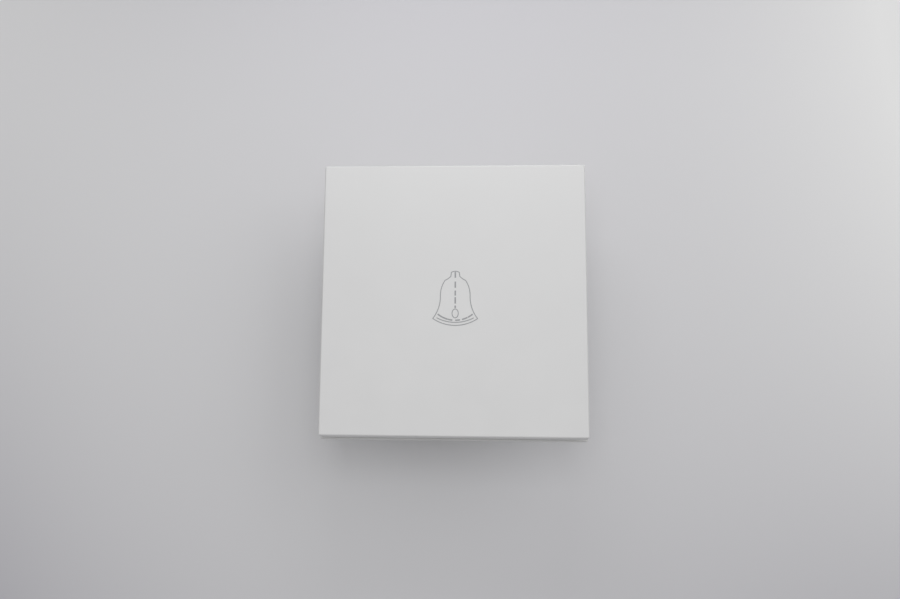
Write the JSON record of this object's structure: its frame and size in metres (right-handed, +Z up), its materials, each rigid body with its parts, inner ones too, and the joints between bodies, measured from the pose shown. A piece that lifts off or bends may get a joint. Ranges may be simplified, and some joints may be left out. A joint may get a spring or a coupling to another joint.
{
  "type": "bell push",
  "caption": "Flush wall bell push: one full-face hinged cap with a printed bell outline, on a frame, steel yoke and rear contact module.",
  "frame": {"origin": "centre of the plate in the wall plane, midway between the two box-screw slots", "axes": "+Z up the wall, +Y into the wall, +X to the right seen from the room, so the cap faces -Y"},
  "size_m": [0.0866, 0.034, 0.0906],
  "materials": {
    "cap_white": "satin moulded polycarbonate",
    "grey_ink": "pad-printed ink",
    "frame_white": "satin moulded polycarbonate",
    "housing_white": "fine-textured moulded polyamide",
    "plunger_grey": "moulded acetal",
    "zinc_steel": "bright zinc-plated sheet",
    "screw_steel": "zinc-plated",
    "spring_steel": "drawn wire",
    "brass": "bright stamped and turned",
    "silver": "silver contact face"
  },
  "bodies": {
    "root": {"wall_frame": "frame_white", "yoke": "zinc_steel", "module_cover": "housing_white", "module_base": "housing_white", "module_screws": "screw_steel", "return_spring": "spring_steel", "fixed_contact_left": "silver", "fixed_contact_right": "silver", "contact_strip_left": "brass", "contact_strip_right": "brass", "terminal_block_left": "brass", "terminal_block_right": "brass"},
    "cap": {"cap": "cap_white", "bell_symbol": "grey_ink"},
    "plunger": {"plunger": "plunger_grey", "contact_spring": "spring_steel"},
    "bridge": {"contact_bridge": "brass", "bridge_contact_left": "silver", "bridge_contact_right": "silver"},
    "terminal_screw_left": {"terminal_screw_left": "screw_steel"},
    "terminal_screw_right": {"terminal_screw_right": "screw_steel"}
  },
  "joints": [
    {"name": "cap_press", "type": "hinge", "parent": "root", "child": "cap", "pos_m": [0, -0.0062, 0.0375], "axis": [1, 0, 0], "range_deg": [0, 1.75], "stiffness_Nm_per_rad": 2, "springref_deg": -2.29},
    {"name": "plunger_travel", "type": "slide", "parent": "root", "child": "plunger", "axis": [0, 1, 0], "range_m": [0, 0.0014], "deforming": ["return_spring"]},
    {"name": "bridge_travel", "type": "slide", "parent": "root", "child": "bridge", "axis": [0, 1, 0], "range_m": [0, 0.00108], "deforming": ["contact_spring"]},
    {"name": "clamp_left", "type": "slide", "parent": "root", "child": "terminal_screw_left", "axis": [0, -1, 0], "range_m": [0, 0.0022]},
    {"name": "clamp_right", "type": "slide", "parent": "root", "child": "terminal_screw_right", "axis": [0, -1, 0], "range_m": [0, 0.0022]}
  ],
  "couplings": [
    {"joint": "plunger_travel", "follows": "cap_press", "m_per_rad": 0.0455},
    {"joint": "bridge_travel", "follows": "cap_press", "m_per_rad": 0.035}
  ]
}
